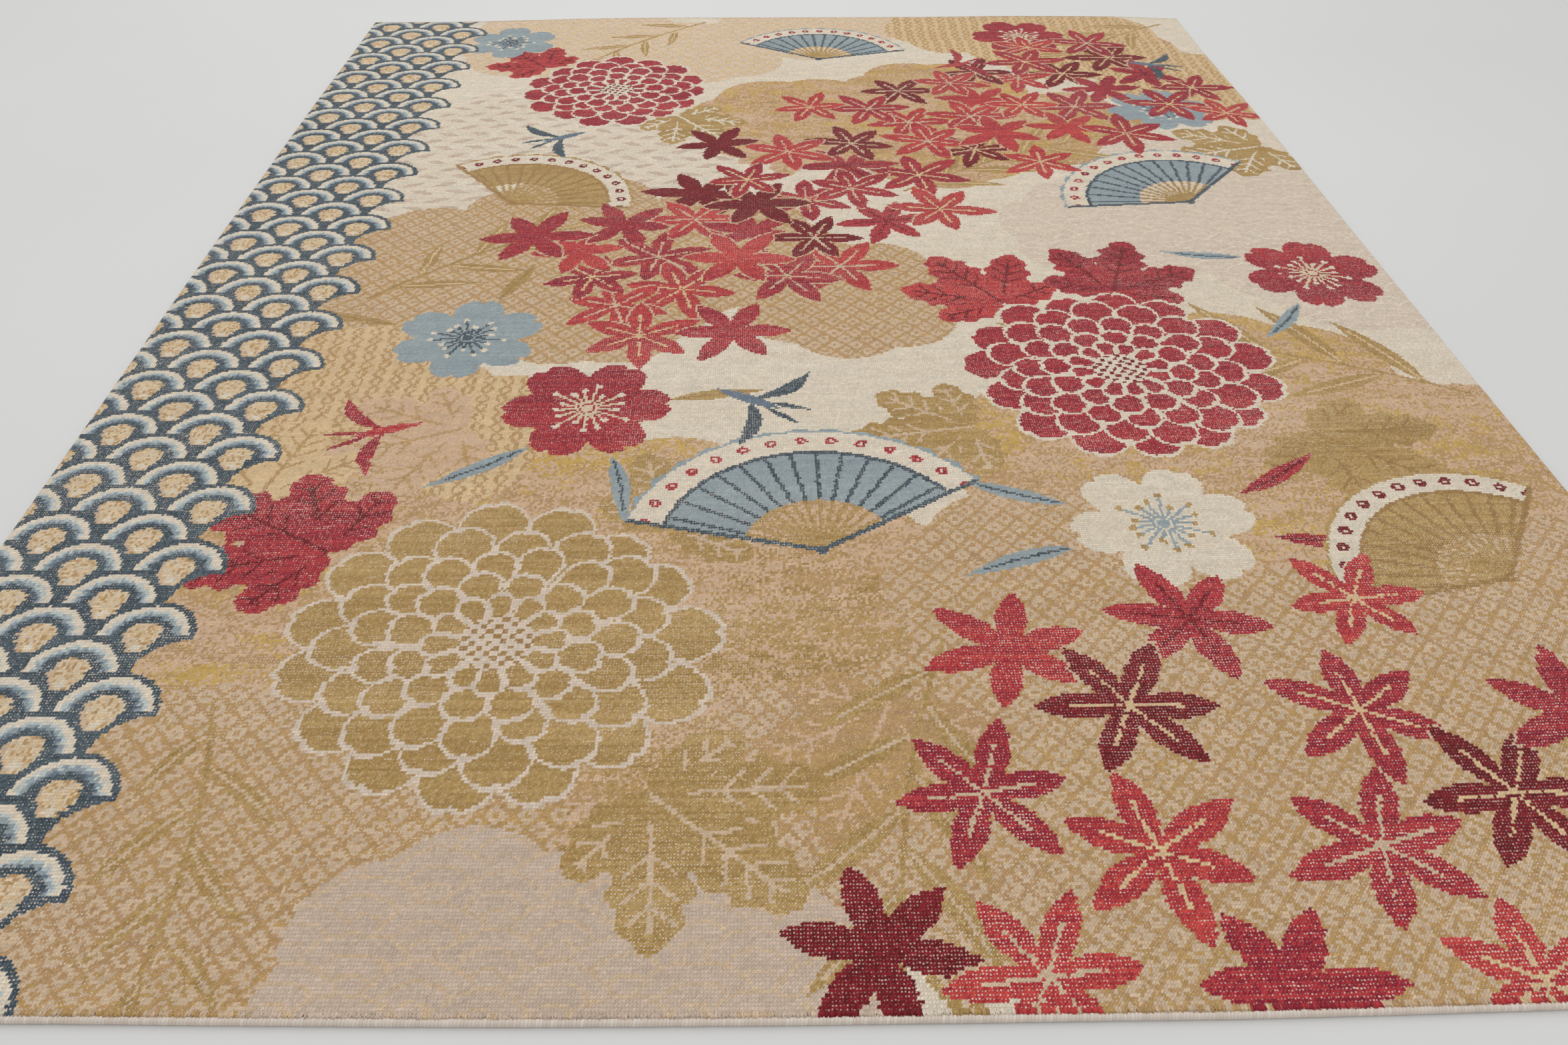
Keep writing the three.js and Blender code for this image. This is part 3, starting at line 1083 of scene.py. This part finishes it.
def spinWool():
    material, shader = startMaterial("handKnottedWool")
    column, row, _ = mapped("knotCount")
    tuftColumn, tuftRow = tuftPlace(column, row)
    yarn = tiedYarn(column, row, tuftColumn, tuftRow)
    wholeColumn, wholeRow = floorOf(tuftColumn), floorOf(row)
    _, luck2, luck3 = chances(joined(wholeColumn, wholeRow))
    strandLuck, _, _ = chances(joined(floorOf(tuftColumn * 2), wholeRow, 9))
    colour = dyeLots(yarn, column, row, strandLuck)

    # Tufts: a slanted stroke to a knot, split in two strands. The colour is darkened in the gaps between
    # strands, knots and rows: painted shade, on top of the bump
    upRow = fraction(row) - 0.5
    stroke, strand = fraction(tuftColumn) - 0.5, fraction(tuftColumn * 2) - 0.5
    ends = 1 - abs(upRow * 2) ** 4 * (0.14 + luck3 * 0.42)
    tuft = (1 - abs(stroke * 2) ** 3 * 0.5) * (1 - strand * strand * 1.6) * ends
    rowLuck = noise(joined(column * 0.045, wholeRow * 5.3, 8.0))
    blotch = noise(joined(column * 0.12, row * 0.20, yarn))
    tint = 1 + (luck3 - 0.5) * wool["knotTint"] + (strandLuck - 0.5) * wool["strandTint"]
    tint = tint + (rowLuck - 0.5) * wool["rowTint"] + (blotch - 0.5) * wool["blotchTint"]
    shade = tint * (1 - wool["tuftShade"] + tuft * (wool["tuftShade"] * 1.5))
    colour = shaded(colour, shade)
    colour = mixedColour(warpShows(yarn, column, row), colour, dyed(wool["warpColour"]))
    coat(shader, colour, wool["pile"])
    bumpOf(tuft * 0.6 + luck2 * 0.3 + strandLuck * 0.3, wool["tuftHeight"], shader)
    return material


def weaveBack():
    # The underside: each knot shows as two small beads, and the design is a little paler
    material, shader = startMaterial("wovenBack")
    column, row, _ = mapped("knotCount")
    yarn = tiedYarn(column, row, column, row)
    luck, luck2, _ = chances(joined(floorOf(column * 2), floorOf(row), 4))
    colour = mixedColour(wool["backPaleness"], dyeLots(yarn, column, row, luck), dyed(wool["warpColour"]))
    bead = maths("SINE", fraction(column * 2) * math.pi) * maths("SINE", fraction(row) * math.pi)
    # The colour is darkened between the beads: painted shade, beside a little random tone from luck2
    colour = shaded(colour, 0.72 + bead * 0.3 + luck2 * 0.1)
    coat(shader, colour, wool["back"])
    bumpOf(bead, wool["beadHeight"], shader)
    return material


woolField.data.materials.append(spinWool())
woolField.data.materials.append(weaveBack())
print("rug: wool spun")


# Whipped ends: warp ends turned in and wound with yarn, one slanting wrap to a knot

whipping = {
    "width": 0.010,
    "height": 0.0084,
    "crown": 0.55,  # share of the height above the roll's middle line
    "squareness": 0.75,
    "unevenness": 0.035,
    "wrap": 0.0044,
    "stepsPerWrap": 6,
    "sides": 14,
    "ridge": 0.00035,
    "slant": 0.9,  # wraps that one turn of the yarn leans along the roll
    "yarn": ((211, 198, 186), (217, 205, 194), (204, 190, 177)),  # most wraps, then paler and darker ones
    "plyHeight": 0.00025,
    "surface": {"Roughness": 0.85, "Specular IOR Level": 0.25, "Sheen Weight": 0.1},
    "bakeStrips": 8,
    "seed": 8,
}


def windRoll(name, edgeOf, inward, corner):
    # A pressed tube along one end, ridged by its wraps
    perWrap, sides, half = whipping["stepsPerWrap"], whipping["sides"], whipping["width"] / 2
    steps = round(rug["width"] / whipping["wrap"]) * perWrap
    share = np.linspace(-1, 1, steps + 1)
    left, right = (float(edge) for edge in sideEdges(np.array(float(corner))))
    x = left + (right - left) * (share + 1) / 2
    around = np.arange(sides) * math.tau / sides
    draw = np.random.default_rng(whipping["seed"] + corner)
    uneven = np.interp(x, np.linspace(x[0], x[-1], 160), draw.normal(0, 1, 160))
    wraps = np.arange(steps + 1)[:, None] / perWrap + whipping["slant"] * around[None, :] / math.tau
    ridge = np.abs(np.sin(np.pi * wraps)) ** 0.7 - 0.6
    full = 1 + whipping["unevenness"] * uneven[:, None] + ridge * whipping["ridge"] / half
    turns = np.cos(around), np.sin(around)
    wide, high = (np.sign(turn) * np.abs(turn) ** whipping["squareness"] for turn in turns)
    y = edgeOf(share)[:, None] + inward * half + wide * half * np.minimum(full, 1.02)
    z = np.maximum(whipping["height"] * (1 - whipping["crown"] + whipping["crown"] * high * full), 0)
    points = np.stack((np.broadcast_to(x[:, None], y.shape), y, z), -1).reshape(-1, 3)
    index = np.arange((steps + 1) * sides).reshape(steps + 1, sides)
    nextSide = np.roll(index, -1, axis=1)
    skin = np.stack((index[1:], nextSide[1:], nextSide[:-1], index[:-1]), -1).reshape(-1, 4)
    mesh = bpy.data.meshes.new(name)
    mesh.from_pydata(points.tolist(), [], [*skin.tolist(), index[0].tolist(), index[-1, ::-1].tolist()])
    mesh.update()
    layRollMaps(mesh, steps, len(skin))
    mesh.shade_smooth()
    return setOut(name, mesh)


def layRollMaps(mesh, steps, skinFaces):
    # The wrap count along the roll, and a bake map of short lengths one above the other
    sides, strips = whipping["sides"], whipping["bakeStrips"]
    corners = np.empty(len(mesh.loops), int)
    mesh.loops.foreach_get("vertex_index", corners)
    station, side = corners // sides, corners % sides
    face = np.repeat(np.arange(len(mesh.polygons)), [polygon.loop_total for polygon in mesh.polygons])
    face = np.minimum(face, skinFaces - 1)
    around = np.where((side == 0) & (face % sides == sides - 1), sides, side)
    wraps = station / whipping["stepsPerWrap"] + whipping["slant"] * around / sides
    layMap(mesh, "wrapCount", np.column_stack((wraps, around / sides)))
    length = math.ceil(steps / strips)
    strip = face // sides // length
    along = 0.01 + 0.98 * (station - strip * length) / length
    layMap(mesh, "OFBake", np.column_stack((along, (strip + 0.06 + 0.88 * around / sides) / strips)))


def spinWhipping():
    material, shader = startMaterial("whippingYarn")
    wraps, around, _ = mapped("wrapCount")
    whole = floorOf(wraps)
    luck, luck2, _ = chances(joined(whole, 3))
    base, pale, dark = (dyed(colour) for colour in whipping["yarn"])
    stretch = noise(joined(wraps * 0.02, 0.0))
    colour = mixedColour(ramp01(luck + stretch, 0.7, 1.3), dark, base)
    colour = mixedColour(ramp01(luck2, 0.75, 0.95), colour, pale)
    within = fraction(wraps)
    ply = abs(fraction(within * 2 - around * 26 + luck * 0.5) - 0.5) * 2
    groove = 1 - ramp01(abs(within - 0.5), 0.30, 0.5)
    # The colour is darkened in the grooves between wraps and lightened a little along the ply ridges: painted
    # shade and painted highlight
    shade = 0.84 + groove * 0.16 + ply * 0.05
    colour = shaded(colour, shade)
    coat(shader, colour, whipping["surface"])
    bumpOf(ply * 0.6 + groove * 0.4, whipping["plyHeight"], shader)
    return material


nearRoll = windRoll("nearWhipping", lambda u: endEdges(u)[0], 1, -1)
farRoll = windRoll("farWhipping", lambda u: endEdges(u)[1], -1, 1)
whippingYarn = spinWhipping()
nearRoll.data.materials.append(whippingYarn)
farRoll.data.materials.append(whippingYarn)
print("rug: ends whipped")


# Studio: a plain pale floor under large soft lamps

studio = {
    "floor": (213, 213, 212),
    "floorSize": 60,
    "floorDrop": 0.0004,  # below the rug's underside
    "paint": {"Roughness": 0.7, "Specular IOR Level": 0.2},
    "sky": 0.74,
    "lamps": (  # place, size, watts, where it points
        ((-1.7, 1.7, 4.2), 4.0, 43, (0, 0.5, 0)),
        ((1.2, -2.0, 4.2), 4.0, 31, (0, -0.2, 0)),
        ((0.4, 3.8, 3.4), 3.0, 27, (0.3, 2.6, 0)),
    ),
}


def buildStudio():
    half = studio["floorSize"] / 2
    corners = [(x * half, y * half, -studio["floorDrop"]) for x, y in ((-1, -1), (1, -1), (1, 1), (-1, 1))]
    mesh = bpy.data.meshes.new("studioFloor")
    mesh.from_pydata(corners, [], [(0, 1, 2, 3)])
    ground = setOut("studioFloor", mesh)
    material, shader = startMaterial("palePaintedFloor")
    place = tree.nodes.new("ShaderNodeTexCoord")
    x, y, _ = parts(Thread(place.outputs["Object"]))
    patches = ramp01(noise(joined(x * 0.5, y * 0.5)), 0.3, 0.7)
    colour = mixedColour(patches, dyed(studio["floor"]), dyed([level - 4 for level in studio["floor"]]))
    coat(shader, colour, studio["paint"])
    mesh.materials.append(material)
    world = bpy.data.worlds.new("studioSky")
    world.use_nodes = True
    background = world.node_tree.nodes["Background"]
    background.inputs[0].default_value = (1.0, 0.997, 0.992, 1.0)
    background.inputs[1].default_value = studio["sky"]
    bpy.context.scene.world = world
    for number, (place, size, watts, target) in enumerate(studio["lamps"]):
        lamp = bpy.data.lights.new(f"softLamp{number}", "AREA")
        lamp.size = size
        lamp.energy = watts
        holder = setOut(f"softLamp{number}", lamp)
        holder.location = place
        holder.rotation_euler = (Vector(target) - Vector(place)).to_track_quat("-Z", "Y").to_euler()
    bpy.context.scene.view_settings.view_transform = "Standard"


buildStudio()
print("rug: studio lit")


for piece, node, finish in (
    (woolField, "knotted_field", "wool_pile"),
    (nearRoll, "whipped_end_near", "whipping_yarn"),
    (farRoll, "whipped_end_far", "whipping_yarn"),
):
    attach(piece, "root")
    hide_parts(node)

bpy.context.view_layer.update()
print("rug: finished")
